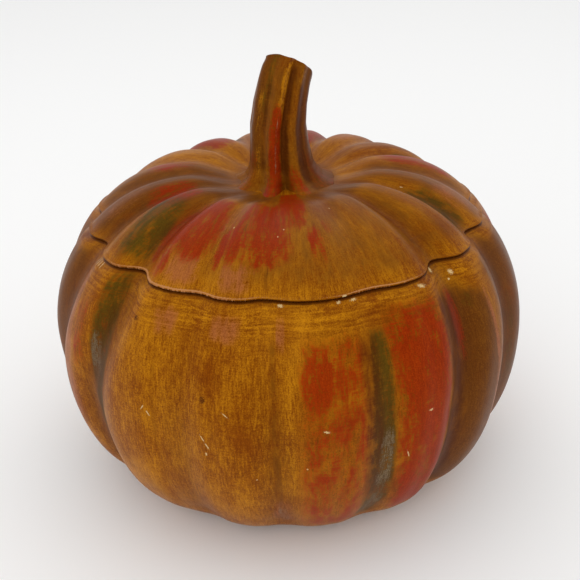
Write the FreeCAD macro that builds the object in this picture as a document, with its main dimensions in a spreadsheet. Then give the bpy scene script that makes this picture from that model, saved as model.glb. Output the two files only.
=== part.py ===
"""Lidded ceramic pumpkin jar: ribbed pot on a foot ring, ribbed lid with a flange, and a fluted stem.

Millimetres, +Z up, the jar's front towards -Y. The origin is the middle of the foot, on the surface below it.
Angles round the jar are counted from the front (-Y) and grow towards +X.
"""

import FreeCAD, Part
import math
import os

import Sketcher

OUT = "parts"
SHEET = "sizes"

# alias: (value, what it is). Lengths are in millimetres and angles in degrees.
SIZES = {
    "belly_radius": (100.0, "outer radius over the ribs at the widest height"),
    "belly_height": (66.0, "height of the widest ring"),
    "base_radius": (60.0, "radius of the flat underside"),
    "base_fullness": (2.05, "superellipse power of the lower half"),
    "crest_radius": (40.0, "radius of the highest ring of the shoulder"),
    "crest_height": (131.5, "height of the tops of the ribs round the stem"),
    "shoulder_fullness": (2.0, "superellipse power of the upper half"),
    "land_radius": (18.0, "flat land that carries the stem"),
    "land_height": (127.0, "height of that land"),
    "rib_depth": (3.8, "depth of a plain valley between two ribs"),
    "rib_sharpness": (1.7, "a higher power gives broader ribs and narrower grooves"),
    "groove_run_in": (16.0, "height over which the grooves start above the underside"),
    "wander_from": (0.8, "height where the grooves start to wander sideways, as a share of the belly's"),
    "wall": (5.0, "cast wall"),
    "inner_rib_share": (0.85, "share of the groove depth that shows on the inside"),
    "foot_height": (1.5, "underside of the pot above the surface it stands on"),
    "foot_outer": (57.0, "outer radius of the foot ring"),
    "foot_inner": (49.0, "inner radius of the foot ring"),
    "foot_round": (0.6, "rounding of the foot ring's lower edges"),
    "seam_height": (112.0, "top of the pot's rim"),
    "seat_gap": (0.4, "gap between the rim and the lid's seat"),
    "mouth_radius": (68.0, "round mouth of the pot"),
    "ledge": (6.0, "thickness of the rim's ledge round the mouth"),
    "seat_radius": (62.0, "inner radius of the lid's flat seat"),
    "seat_height": (6.0, "thickness of that seat"),
    "overlap": (1.6, "how far a cutting cylinder runs past the wall that it opens"),
    "flange_outer": (67.0, "outer radius of the locating flange"),
    "flange_inner": (63.0, "inner radius of the locating flange"),
    "flange_drop": (8.0, "how far the flange hangs below the seat"),
    "flange_round": (1.2, "rounding of its lower edges"),
    "stem_height": (47.0, "stem above its land, along the jar's axis"),
    "stem_radius": (11.7, "radius over the ridges halfway up the stem"),
    "stem_flute": (0.16, "depth of the stem's flutes as a share of its radius"),
    "cut_right": (18.0, "how much the stem's cut end falls towards the right"),
    "cut_back": (30.0, "how much it falls towards the back"),
}

# The valleys between the ribs: their angle low on the pot and on the lid, and their depth against a plain one
# low on the pot and on the lid.
GROOVES = (
    (-55.0, -45.5, 1.45, 1.20),
    (-25.5, -23.5, 0.85, 0.40),
    (-3.5, -6.5, 0.95, 0.45),
    (21.5, 22.0, 0.90, 0.40),
    (41.5, 46.0, 1.35, 1.20),
    (63.0, 69.0, 1.25, 1.10),
    (88.0, 92.0, 1.00, 0.70),
    (112.0, 115.0, 1.10, 0.95),
    (136.0, 137.0, 0.90, 0.55),
    (159.0, 158.5, 1.15, 1.00),
    (181.0, 180.5, 0.95, 0.55),
    (204.0, 203.0, 1.05, 0.75),
    (226.0, 225.0, 1.20, 1.05),
    (247.0, 247.5, 0.95, 0.55),
    (267.0, 269.0, 1.05, 0.75),
    (285.5, 291.0, 1.25, 1.05),
)

# How finely the skins are laid out: points across a rib, and rings up each stretch of the profile.
POINTS_PER_RIB = 6
STEPS_LOW = 7
STEPS_HIGH = 4
STEPS_LID = 5
STEPS_DIP = 3

# A small turn of the profile, for its slope, and the least outward lean that a valley is sunk against.
SMALL_TURN = 0.01
LEAST_LEAN = 0.5

# Stations up the stem: share of its height, sway to the right and to the back, radius against the middle's.
STEM_STATIONS = (
    (0.00, 0.0, 0.0, 1.48),
    (0.06, -0.4, 0.0, 1.28),
    (0.16, -1.0, 0.1, 1.15),
    (0.32, -1.7, 0.3, 1.06),
    (0.50, -2.0, 0.8, 1.00),
    (0.68, -0.9, 1.5, 0.95),
    (0.85, 0.9, 2.3, 0.89),
    (1.00, 3.0, 3.0, 0.81),
)
# The stem's flutes: their angle and their depth against a plain one.
FLUTES = (
    (-80.0, 0.8),
    (-37.0, 0.8),
    (3.0, 1.5),
    (45.0, 1.1),
    (88.0, 0.8),
    (133.0, 1.0),
    (180.0, 0.9),
    (230.0, 1.1),
)


def make_sheet(doc):
    """The spreadsheet of driving dimensions, one alias for each."""
    sheet = doc.addObject("Spreadsheet::Sheet", SHEET)
    for row, (alias, (value, meaning)) in enumerate(SIZES.items(), start=1):
        sheet.set(f"A{row}", str(value))
        sheet.setAlias(f"A{row}", alias)
        sheet.set(f"B{row}", meaning)
    doc.recompute()
    return sheet


def smooth(share):
    """0 to 1 with level ends."""
    share = min(max(share, 0.0), 1.0)
    return share * share * (3 - 2 * share)


def lower_skin(sheet, inset, turn):
    """Radius and height on a skin's lower half, from the underside (turn 0) to the belly (a quarter turn)."""
    out = math.sin(turn) ** (2 / sheet.base_fullness)
    down = max(math.cos(turn), 0.0) ** (2 / sheet.base_fullness)
    radius = sheet.base_radius + (sheet.belly_radius - inset - sheet.base_radius) * out
    return radius, sheet.belly_height - (sheet.belly_height - sheet.foot_height - inset) * down


def upper_skin(sheet, inset, turn):
    """The same from the belly (turn 0) to the crest (a quarter turn), and on down to the stem's land."""
    quarter = math.pi / 2
    if turn > quarter:
        share = (turn - quarter) / quarter
        radius = sheet.crest_radius + (sheet.land_radius - sheet.crest_radius) * share
        dip = (sheet.crest_height - sheet.land_height) * smooth(share)
        return radius, sheet.crest_height - inset - dip
    out = max(math.cos(turn), 0.0) ** (2 / sheet.shoulder_fullness)
    up = math.sin(turn) ** (2 / sheet.shoulder_fullness)
    radius = sheet.crest_radius + (sheet.belly_radius - inset - sheet.crest_radius) * out
    return radius, sheet.belly_height + (sheet.crest_height - inset - sheet.belly_height) * up


def upper_turn(sheet, inset, height):
    """The turn at which the upper half of a skin reaches a height."""
    share = (height - sheet.belly_height) / (sheet.crest_height - inset - sheet.belly_height)
    return math.asin(share ** (sheet.shoulder_fullness / 2))


def stations(skin, sheet, inset, first, last, steps):
    """Radius, height and outward direction at equal turns along a skin, both ends included."""
    made = []
    for k in range(steps + 1):
        turn = first + (last - first) * k / steps
        radius, height = skin(sheet, inset, turn)
        before = skin(sheet, inset, max(turn - SMALL_TURN, 0.0))
        after = skin(sheet, inset, turn + SMALL_TURN)
        run, rise = after[0] - before[0], after[1] - before[1]
        length = math.hypot(run, rise)
        made.append((radius, height, rise / length, -run / length))
    return made


def scallops(valleys, sharpness):
    """Angle in radians and depth share round a closed row of valleys, each given by angle and depth."""
    for i, (start, deep) in enumerate(valleys):
        next_start, next_deep = valleys[(i + 1) % len(valleys)]
        span = (next_start - start) % 360.0
        for p in range(POINTS_PER_RIB):
            across = p / POINTS_PER_RIB
            valley = (0.5 + 0.5 * math.cos(2 * math.pi * across)) ** sharpness
            yield math.radians(start + span * across), valley * (deep if across < 0.5 else next_deep)


def grooves_at(sheet, height):
    """The jar's valleys at a height: they wander and grow shallower on their way from the pot to the lid."""
    start = sheet.wander_from * sheet.belly_height
    share = smooth((height - start) / (sheet.seam_height - start))
    valleys = []
    for low, high, deep, deep_high in GROOVES:
        valleys.append((low + (high - low) * share, deep + (deep_high - deep) * share))
    return valleys


def groove_depth(sheet, radius, height):
    """Depth of a plain valley: it runs out on the underside and at the stem's land."""
    depth = sheet.rib_depth * smooth((height - sheet.foot_height) / sheet.groove_run_in)
    if height > sheet.seam_height:
        depth *= min(max((radius - sheet.land_radius) / sheet.land_radius, 0.0), 1.0) ** 0.5
    return depth


def ribbed_ring(sheet, station, rib_share):
    """Points of one ribbed ring. Up to the lid's seat its valleys sink straight inwards: rims stay level."""
    radius, height, out_r, out_z = station
    depth = groove_depth(sheet, radius, height) * rib_share
    above = smooth((height - sheet.seam_height - sheet.seat_gap - sheet.seat_height) / sheet.seat_height)
    inwards = (1 - above) / max(out_r, LEAST_LEAN) + above * out_r
    downwards = above * out_z
    points = []
    for turn, share in scallops(grooves_at(sheet, height), sheet.rib_sharpness):
        sunk = depth * share
        ring = radius - inwards * sunk
        low = height - downwards * sunk
        points.append(FreeCAD.Vector(ring * math.sin(turn), -ring * math.cos(turn), low))
    return points


def closed_curve(points):
    """A smooth closed wire through the points."""
    curve = Part.BSplineCurve()
    curve.interpolate(Points=points, PeriodicFlag=True)
    return Part.Wire([curve.toShape()])


def loft_through(doc, name, rings):
    """A solid loft through closed rings of points."""
    sections = []
    for points in rings:
        section = doc.addObject("Part::Feature", f"{name}_section")
        section.Shape = closed_curve(points)
        sections.append(section)
    loft = doc.addObject("Part::Loft", name)
    loft.Sections = sections
    loft.Solid = True
    loft.Ruled = False
    return loft


def cylinder(doc, name, radius, bottom, height):
    """An upright cylinder on the jar's axis, with its sizes given as expressions."""
    made = doc.addObject("Part::Cylinder", name)
    made.setExpression("Radius", radius)
    made.setExpression("Height", height)
    made.setExpression("Placement.Base.z", bottom)
    return made


def cut(doc, name, base, tool):
    """One object with another taken away."""
    made = doc.addObject("Part::Cut", name)
    made.Base = base
    made.Tool = tool
    return made


def pot_skin(doc, sheet, name, inset, rib_share, top):
    """The pot's outer or inner skin as a closed solid, up to a level top."""
    low = stations(lower_skin, sheet, inset, 0.0, math.pi / 2, STEPS_LOW)
    high = stations(upper_skin, sheet, inset, 0.0, upper_turn(sheet, inset, top), STEPS_HIGH)
    return loft_through(doc, name, [ribbed_ring(sheet, each, rib_share) for each in low + high[1:]])


def lid_skin(doc, sheet, name, inset, rib_share, bottom):
    """The lid's outer or inner skin as a closed solid, from a level bottom to the stem's land."""
    up = stations(upper_skin, sheet, inset, upper_turn(sheet, inset, bottom), math.pi / 2, STEPS_LID)
    dip = stations(upper_skin, sheet, inset, math.pi / 2, math.pi, STEPS_DIP)
    return loft_through(doc, name, [ribbed_ring(sheet, each, rib_share) for each in up + dip[1:]])


def make_pot(doc, sheet):
    """The pot: hollow, with a level rim and a ledge round its mouth."""
    outside = pot_skin(doc, sheet, "pot_outside", 0.0, 1.0, sheet.seam_height)
    under_ledge = sheet.seam_height - sheet.ledge
    inside = pot_skin(doc, sheet, "pot_inside", sheet.wall, sheet.inner_rib_share, under_ledge)
    mouth = cylinder(
        doc,
        "mouth",
        "sizes.mouth_radius",
        "sizes.seam_height - sizes.ledge - sizes.overlap",
        "sizes.ledge + 2 * sizes.overlap",
    )
    return cut(doc, "pot_shell", cut(doc, "pot_hollowed", outside, inside), mouth)


def make_lid(doc, sheet):
    """The lid: hollow over a flat seat that rests on the pot's rim."""
    seat = sheet.seam_height + sheet.seat_gap
    outside = lid_skin(doc, sheet, "lid_outside", 0.0, 1.0, seat)
    inside = lid_skin(doc, sheet, "lid_inside", sheet.wall, sheet.inner_rib_share, seat + sheet.seat_height)
    opening = cylinder(
        doc,
        "seat_opening",
        "sizes.seat_radius",
        "sizes.seam_height + sizes.seat_gap - sizes.overlap",
        "sizes.seat_height + 2 * sizes.overlap",
    )
    return cut(doc, "lid_shell", cut(doc, "lid_hollowed", outside, inside), opening)


def origin_plane(body, role):
    """One of the body's own origin planes."""
    return next(feature for feature in body.Origin.OriginFeatures if feature.Role == role)


def make_ring(doc, sheet, name, inner, outer, drop, rounding, top):
    """A turned ring with rounded lower edges, from the names of its sizes. Its flat top stands at top."""
    body = doc.addObject("PartDesign::Body", name)
    sketch = body.newObject("Sketcher::SketchObject", f"{name}_section")
    sketch.AttachmentSupport = (origin_plane(body, "XZ_Plane"), [""])
    sketch.MapMode = "FlatFace"
    near, far, deep = sheet.get(inner), sheet.get(outer), sheet.get(drop)
    corners = [FreeCAD.Vector(x, y, 0) for x, y in ((near, 0), (far, 0), (far, -deep), (near, -deep))]
    for k in range(4):
        sketch.addGeometry(Part.LineSegment(corners[k], corners[(k + 1) % 4]), False)
    for k in range(4):
        sketch.addConstraint(Sketcher.Constraint("Coincident", k, 2, (k + 1) % 4, 1))
    for side, direction in ((0, "Horizontal"), (1, "Vertical"), (2, "Horizontal"), (3, "Vertical")):
        sketch.addConstraint(Sketcher.Constraint(direction, side))
    sketch.addConstraint(Sketcher.Constraint("PointOnObject", 0, 1, -1))
    inner_side = sketch.addConstraint(Sketcher.Constraint("DistanceX", -1, 1, 0, 1, near))
    outer_side = sketch.addConstraint(Sketcher.Constraint("DistanceX", -1, 1, 0, 2, far))
    height = sketch.addConstraint(Sketcher.Constraint("DistanceY", 1, 2, 1, 1, deep))
    sketch.setExpression(f"Constraints[{inner_side}]", f"sizes.{inner}")
    sketch.setExpression(f"Constraints[{outer_side}]", f"sizes.{outer}")
    sketch.setExpression(f"Constraints[{height}]", f"sizes.{drop}")
    ring = body.newObject("PartDesign::Revolution", f"{name}_turned")
    ring.Profile = sketch
    ring.ReferenceAxis = (sketch, ["V_Axis"])
    ring.Angle = 360.0
    doc.recompute()
    middle = ring.Shape.BoundBox.Center.z
    edges = [f"Edge{n}" for n, edge in enumerate(ring.Shape.Edges, start=1) if edge.BoundBox.ZMax < middle]
    fillet = body.newObject("PartDesign::Fillet", f"{name}_rounded")
    fillet.Base = (ring, edges)
    fillet.setExpression("Radius", f"sizes.{rounding}")
    body.setExpression("Placement.Base.z", top)
    return body


def make_stem(doc, sheet):
    """The stem: a fluted loft that leans. Its rings tilt more and more towards its sloping cut end."""
    fall_right = math.tan(math.radians(sheet.cut_right))
    fall_back = math.tan(math.radians(sheet.cut_back))
    rings = []
    for share, right, back, width in STEM_STATIONS:
        slope = smooth(2 * share - 1)
        points = []
        for turn, flute in scallops(FLUTES, 1.0):
            radius = sheet.stem_radius * width * (1 - sheet.stem_flute * flute)
            x = radius * math.sin(turn)
            y = -radius * math.cos(turn)
            height = sheet.stem_height * share - slope * (fall_right * x + fall_back * y)
            points.append(FreeCAD.Vector(x + right, y + back, height))
        rings.append(points)
    stem = loft_through(doc, "stem_handle", rings)
    stem.setExpression("Placement.Base.z", "sizes.land_height")
    return stem


def write_parts(doc, nodes):
    """Stop on any failed object or bad solid, then write one file for each sub-part."""
    failed = [each.Name for each in doc.Objects if {"Invalid", "Error"} & set(each.State)]
    if failed:
        raise RuntimeError(f"objects that did not build: {failed}")
    for node in nodes:
        if node.Shape.isNull() or not node.Shape.isValid() or node.Shape.Volume <= 0:
            raise RuntimeError(f"{node.Label} has no valid solid")
    os.makedirs(OUT, exist_ok=True)
    for node in nodes:
        node.Shape.exportStep(os.path.join(OUT, f"{node.Label}.step"))
        print(f"{node.Label}: {len(node.Shape.Solids)} solid, {node.Shape.Volume / 1000:.1f} cm3")


def main():
    doc = FreeCAD.newDocument("pumpkin_jar")
    sheet = make_sheet(doc)
    foot_ring = make_ring(
        doc, sheet, "foot_ring", "foot_inner", "foot_outer", "foot_height", "foot_round", "sizes.foot_height"
    )
    lid_flange = make_ring(
        doc,
        sheet,
        "lid_flange",
        "flange_inner",
        "flange_outer",
        "flange_drop",
        "flange_round",
        "sizes.seam_height + sizes.seat_gap",
    )
    nodes = [make_pot(doc, sheet), foot_ring, make_lid(doc, sheet), lid_flange, make_stem(doc, sheet)]
    doc.recompute()
    write_parts(doc, nodes)


main()
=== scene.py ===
"""A hand-painted ceramic pumpkin jar: a ribbed pot and its lift-off lid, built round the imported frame."""

import math

import bmesh
import bpy
import numpy as np
from bpy.props import FloatProperty, FloatVectorProperty, IntProperty, PointerProperty
from mathutils import Euler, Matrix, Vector


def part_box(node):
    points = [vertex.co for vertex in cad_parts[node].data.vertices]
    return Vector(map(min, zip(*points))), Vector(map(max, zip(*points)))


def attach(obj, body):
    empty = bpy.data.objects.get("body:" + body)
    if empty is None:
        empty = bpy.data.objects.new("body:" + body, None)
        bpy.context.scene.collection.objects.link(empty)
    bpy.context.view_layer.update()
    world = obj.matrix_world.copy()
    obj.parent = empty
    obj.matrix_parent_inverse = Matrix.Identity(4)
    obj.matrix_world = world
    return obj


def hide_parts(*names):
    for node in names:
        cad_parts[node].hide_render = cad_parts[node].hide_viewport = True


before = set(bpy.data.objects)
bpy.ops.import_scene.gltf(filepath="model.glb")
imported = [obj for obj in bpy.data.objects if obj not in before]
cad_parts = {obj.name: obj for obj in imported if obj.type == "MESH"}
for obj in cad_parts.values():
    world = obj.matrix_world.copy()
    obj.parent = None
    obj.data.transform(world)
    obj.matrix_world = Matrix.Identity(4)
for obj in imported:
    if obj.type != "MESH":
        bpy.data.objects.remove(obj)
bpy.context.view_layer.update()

bl_info = {
    "name": "Ceramic pumpkin jar",
    "version": (1, 0, 0),
    "blender": (4, 5, 0),
    "location": "3D View > Sidebar > Pumpkin",
    "description": "Builds a hand-painted ceramic pumpkin jar round its measured frame",
    "category": "Object",
}

MM = 0.001

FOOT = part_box("foot_ring")
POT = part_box("pot_shell")
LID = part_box("lid_shell")
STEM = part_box("stem_handle")

UNDERSIDE = FOOT[1].z
RIM = POT[1].z
SEAT = LID[0].z
LAND = STEM[0].z

# The valleys between the ribs, in degrees from the front, growing towards +X: their angle low on the pot
# and on the lid, and their depth against a plain one low on the pot and on the lid.
VALLEYS = (
    (-55.0, -45.5, 1.45, 1.20),
    (-25.5, -23.5, 0.85, 0.40),
    (-3.5, -6.5, 0.95, 0.45),
    (21.5, 22.0, 0.90, 0.40),
    (41.5, 46.0, 1.35, 1.20),
    (63.0, 69.0, 1.25, 1.10),
    (88.0, 92.0, 1.00, 0.70),
    (112.0, 115.0, 1.10, 0.95),
    (136.0, 137.0, 0.90, 0.55),
    (159.0, 158.5, 1.15, 1.00),
    (181.0, 180.5, 0.95, 0.55),
    (204.0, 203.0, 1.05, 0.75),
    (226.0, 225.0, 1.20, 1.05),
    (247.0, 247.5, 0.95, 0.55),
    (267.0, 269.0, 1.05, 0.75),
    (285.5, 291.0, 1.25, 1.05),
)

# Faint creases pressed into the pot between its valleys: angle low down, angle at the rim, half width,
# depth in mm.
CREASES = (
    (-32.0, -30.0, 2.2, 0.45),
    (-17.5, -17.0, 1.8, 0.35),
    (10.5, 12.0, 2.0, 0.40),
    (31.0, 33.0, 2.0, 0.30),
    (98.0, 99.0, 2.0, 0.40),
    (148.0, 147.0, 2.4, 0.45),
    (193.0, 192.0, 2.0, 0.35),
    (238.0, 236.0, 2.2, 0.45),
)

# The stem's flutes: angle, depth against a plain one, and how much the flute turns about the stem on its
# way up.
FLUTES = (
    (-84.0, 0.5, -6.0),
    (-38.0, 0.7, 10.0),
    (3.0, 1.5, 22.0),
    (45.0, 0.32, 12.0),
    (88.0, 0.12, 0.0),
    (133.0, 1.0, -4.0),
    (180.0, 0.9, 0.0),
    (230.0, 1.1, 4.0),
)

# Up the stem: share of its height, sway right, sway back and radius over the ridges, in mm.
STEM_LINE = (
    (0.000, 0.0, 0.0, 21.5),
    (0.020, -0.1, 0.0, 19.2),
    (0.050, -0.3, 0.0, 16.6),
    (0.100, -0.6, 0.0, 14.7),
    (0.160, -1.0, 0.1, 13.5),
    (0.320, -1.7, 0.3, 12.4),
    (0.500, -2.0, 0.8, 11.7),
    (0.680, -0.9, 1.5, 11.1),
    (0.850, 0.9, 2.3, 10.4),
    (1.000, 3.0, 3.0, 9.6),
)

# Brush strokes: pigment, angle and reach at one end, angle and reach at the other, half width in degrees at
# each end, and how thickly it is laid. Reach is the distance in mm along the skin from the underside; the
# rim is at 133.
STROKES = (
    # The pot, from its right hand to its left.
    ("brown", -84.0, 134, -80.0, 20, 17.0, 15.0, 0.90),
    # Mauve strokes, here and below, are painted sheen where the satin finish reflects the light.
    ("mauve", -64.0, 132, -62.5, 55, 2.6, 2.6, 0.75),
    ("red", -57.5, 124, -58.0, 85, 2.6, 2.2, 0.45),
    ("olive", -49.3, 136, -53.2, 28, 3.8, 2.8, 0.92),
    ("worn", -52.0, 110, -52.5, 86, 1.4, 1.8, 0.75),
    ("worn", -52.5, 74, -52.5, 50, 1.2, 1.2, 0.40),
    ("umber", -31.3, 120, -31.0, 40, 0.7, 0.9, 0.46),
    ("umber", -17.0, 110, -17.5, 60, 0.6, 0.9, 0.35),
    ("umber", -11.0, 114, -11.5, 74, 3.6, 3.4, 0.34),
    # Lighter ochre on the tops of the ribs just under the rim: painted highlight.
    ("golden", -40.0, 133, -40.0, 123, 7.0, 6.0, 0.72),
    ("golden", -22.5, 133, -22.5, 121, 4.6, 4.0, 0.78),
    ("golden", -8.5, 133, -8.5, 121, 3.4, 3.0, 0.78),
    ("golden", 7.0, 134, 7.0, 125, 8.0, 6.0, 0.75),
    ("golden", 24.0, 134, 24.0, 128, 8.0, 7.0, 0.65),
    ("golden", 40.0, 135, 40.0, 130, 8.0, 8.0, 0.70),
    ("golden", 51.0, 134, 51.0, 126, 3.6, 3.4, 0.80),
    ("mauve", -30.5, 131, -30.0, 117, 3.8, 3.0, 0.70),
    ("mauve", -14.5, 131, -15.0, 118, 4.2, 3.4, 0.70),
    ("mauve", -2.0, 131, -2.0, 114, 1.3, 1.0, 0.75),
    ("umber", -3.9, 128, -3.4, 40, 1.1, 1.2, 0.56),
    ("golden", -0.6, 116, -0.2, 45, 1.2, 1.2, 0.70),
    ("golden", -7.0, 100, -7.0, 60, 2.2, 2.2, 0.45),
    ("golden", -40.0, 118, -38.0, 80, 3.2, 2.6, 0.35),
    ("mauve", -3.0, 52, -2.5, 22, 2.6, 3.0, 0.75),
    ("worn", -3.0, 48, -2.5, 24, 1.4, 1.6, 0.60),
    ("brown", -30.0, 58, -34.0, 20, 14.0, 12.0, 0.38),
    ("red", 6.2, 122, 5.5, 92, 4.0, 3.2, 0.85),
    ("red", 9.8, 126, 9.5, 22, 8.0, 8.8, 0.52),
    ("red", 4.2, 88, 4.6, 72, 1.9, 1.9, 0.75),
    ("red", 11.0, 62, 11.0, 24, 7.0, 7.0, 0.50),
    ("umber", 12.5, 112, 13.0, 40, 2.2, 2.4, 0.38),
    ("umber", 17.6, 125, 18.6, 40, 3.0, 2.4, 0.72),
    ("olive", 20.4, 124, 20.4, 22, 2.2, 4.0, 0.95),
    ("worn", 21.6, 84, 20.8, 26, 1.6, 2.6, 0.62),
    ("red", 30.8, 130, 31.0, 26, 9.0, 5.4, 0.78),
    ("red", 30.0, 129, 31.0, 84, 8.4, 6.4, 0.95),
    ("golden", 31.2, 118, 31.0, 98, 1.1, 0.9, 0.45),
    ("umber", 35.5, 104, 35.0, 50, 1.2, 1.4, 0.35),
    ("umber", 40.4, 130, 41.8, 28, 2.8, 3.2, 0.95),
    ("red", 43.8, 127, 44.2, 92, 2.2, 1.9, 0.62),
    ("brown", 49.0, 126, 49.0, 24, 7.0, 7.0, 1.10),
    ("olive", 49.5, 124, 49.0, 112, 2.2, 1.6, 0.42),
    ("mauve", 55.0, 126, 55.2, 55, 0.9, 0.9, 0.80),
    ("brown", 76.0, 134, 74.0, 20, 20.0, 18.0, 0.95),
    ("olive", 66.0, 128, 68.0, 60, 5.0, 6.0, 0.40),
    ("red", 97.0, 128, 99.0, 40, 5.0, 4.0, 0.75),
    ("olive", 112.0, 131, 112.0, 30, 3.2, 3.0, 0.90),
    ("worn", 112.5, 100, 112.0, 60, 1.2, 1.6, 0.60),
    ("red", 124.0, 126, 123.0, 28, 5.5, 5.0, 0.90),
    ("umber", 136.0, 128, 136.0, 34, 1.3, 1.8, 0.65),
    ("brown", 148.0, 124, 147.0, 24, 6.0, 6.0, 0.50),
    ("mauve", 150.0, 131, 150.0, 117, 4.0, 3.0, 0.70),
    ("olive", 159.0, 130, 159.0, 30, 2.8, 2.8, 0.75),
    ("red", 171.0, 124, 170.0, 44, 4.0, 5.0, 0.62),
    ("umber", 181.0, 128, 181.0, 36, 1.2, 1.6, 0.60),
    ("mauve", 192.0, 131, 192.0, 119, 3.6, 3.0, 0.65),
    ("red", 212.0, 128, 214.0, 30, 6.0, 5.0, 0.85),
    ("olive", 226.0, 131, 226.0, 28, 3.4, 3.0, 0.92),
    ("worn", 226.0, 92, 226.0, 52, 1.4, 1.6, 0.60),
    ("red", 240.0, 120, 239.0, 50, 3.0, 3.6, 0.60),
    ("brown", 257.0, 130, 257.0, 24, 6.0, 6.0, 0.60),
    # The lid.
    ("brown", 20.0, 206, 20.0, 134, 60.0, 60.0, 0.60),
    ("brown", -84.0, 207, -84.0, 132, 26.0, 18.0, 0.85),
    # Mauve on the lid is painted sheen too.
    ("mauve", -84.0, 172, -84.0, 138, 11.0, 11.0, 0.45),
    ("olive", -62.5, 153, -62.0, 136, 3.6, 3.8, 0.42),
    ("olive", -57.0, 178, -52.0, 135, 8.0, 6.0, 0.78),
    ("olive", -50.5, 168, -48.0, 135, 2.8, 2.6, 1.00),
    ("red", -66.0, 186, -65.0, 161, 12.0, 11.0, 0.80),
    ("red", -41.5, 168, -41.5, 134, 6.5, 6.5, 0.60),
    ("red", -36.5, 184, -36.5, 146, 10.0, 12.0, 1.00),
    ("mauve", -31.0, 153, -31.0, 135, 5.6, 5.4, 0.80),
    ("mauve", -23.6, 184, -23.4, 158, 2.4, 2.0, 0.60),
    ("red", -21.6, 168, -21.4, 143, 1.5, 1.4, 0.85),
    ("mauve", -14.5, 151, -14.5, 135, 5.4, 5.2, 0.68),
    ("red", -17.5, 182, -17.5, 146, 2.4, 2.0, 0.80),
    ("red", -9.0, 190, -10.0, 145, 14.0, 12.0, 0.56),
    ("red", -7.5, 188, -7.5, 145, 5.4, 5.4, 0.90),
    ("umber", -6.0, 152, -5.8, 135, 0.8, 0.8, 0.65),
    ("red", 5.0, 209, 2.5, 164, 10.0, 5.0, 0.95),
    ("red", 10.0, 168, 10.0, 146, 3.0, 2.4, 0.62),
    ("red", 15.5, 172, 16.0, 159, 2.4, 1.8, 0.36),
    ("umber", 21.8, 162, 22.0, 137, 1.3, 1.1, 0.42),
    ("brown", 38.0, 194, 38.0, 162, 6.0, 4.6, 0.55),
    ("umber", 44.5, 178, 45.6, 138, 1.8, 1.6, 0.42),
    ("golden", 30.0, 176, 30.0, 140, 7.0, 7.0, 0.30),
    ("red", 57.0, 176, 57.0, 150, 5.0, 4.0, 0.26),
    ("olive", 69.0, 172, 67.5, 134, 6.0, 5.6, 0.88),
    ("mauve", 82.0, 164, 81.0, 135, 9.0, 8.0, 0.55),
    ("brown", 86.0, 196, 86.0, 132, 15.0, 14.0, 0.72),
    ("brown", -36.0, 207, -34.0, 181, 34.0, 26.0, 0.95),
    ("brown", -72.0, 206, -70.0, 164, 30.0, 24.0, 0.80),
    ("brown", 45.0, 207, 48.0, 180, 36.0, 32.0, 0.82),
    ("olive", -8.0, 196, -8.0, 186, 7.0, 6.0, 0.40),
    ("brown", 0.0, 212, 0.0, 197, 180.0, 180.0, 0.70),
    ("red", 104.0, 182, 104.0, 145, 7.0, 7.0, 0.70),
    ("olive", 115.0, 172, 115.0, 136, 3.6, 3.4, 0.88),
    ("brown", 128.0, 200, 128.0, 140, 9.0, 8.0, 0.50),
    ("mauve", 147.0, 186, 147.0, 135, 6.0, 6.0, 0.60),
    ("red", 168.0, 188, 168.0, 150, 8.0, 8.0, 0.85),
    ("brown", 186.0, 206, 186.0, 176, 30.0, 24.0, 0.60),
    ("umber", 181.0, 172, 181.0, 138, 1.6, 1.4, 0.50),
    ("olive", 203.0, 174, 203.0, 136, 3.2, 3.0, 0.80),
    ("red", 216.0, 184, 215.0, 144, 6.0, 7.0, 0.80),
    ("mauve", 236.0, 160, 236.0, 135, 7.0, 7.0, 0.70),
    ("red", 257.0, 186, 256.0, 160, 8.0, 7.0, 0.60),
)

# Small marks on the paint: kind, angle, reach, length along the reach, width across it (mm), and lean in
# degrees.
POT_FLECKS = (
    ("pin", -38.3, 121.8, 2.8, 2.6, 0),
    ("pin", -18.8, 98.0, 3.4, 3.2, 0),
    # Along the rim: bare clay where the paint has come off, also standing for the glints of the gloss there:
    # part real, part painted highlight.
    ("chip", -2.0, 132.6, 1.3, 3.6, 0),
    ("chip", 12.6, 132.8, 1.3, 2.6, 10),
    ("chip", 16.5, 132.6, 1.0, 4.0, 0),
    ("chip", 35.6, 131.8, 1.4, 5.2, -8),
    ("chip", 43.6, 132.4, 1.6, 3.4, 12),
    ("chip", 49.0, 129.4, 3.0, 2.4, 30),
    ("chip", 47.6, 126.8, 1.2, 1.6, 0),
    # Four short slanted strokes at the left shoulder: painted glints of the gloss.
    ("chip", -62.8, 131.6, 3.4, 0.6, 38),
    ("chip", -61.6, 131.8, 3.6, 0.6, 38),
    ("chip", -60.3, 131.8, 3.4, 0.6, 38),
    ("chip", -59.0, 131.9, 3.2, 0.6, 38),
    ("chip", -33.6, 89.2, 2.6, 0.5, -30),
    ("chip", -32.4, 87.0, 3.4, 0.6, 28),
    ("chip", -19.2, 82.0, 3.4, 0.8, 34),
    ("chip", -18.2, 79.0, 4.2, 0.9, 30),
    ("chip", -18.6, 75.2, 2.0, 1.0, 0),
    ("chip", -13.8, 93.6, 3.8, 0.5, 52),
    ("chip", 7.2, 87.0, 1.2, 3.0, -14),
    ("chip", 31.0, 86.0, 1.1, 2.8, 0),
    ("chip", 26.2, 68.0, 4.2, 0.6, 16),
    ("chip", 3.0, 70.0, 0.9, 0.8, 0),
    ("chip", -8.0, 64.0, 0.8, 0.9, 0),
)
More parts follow.
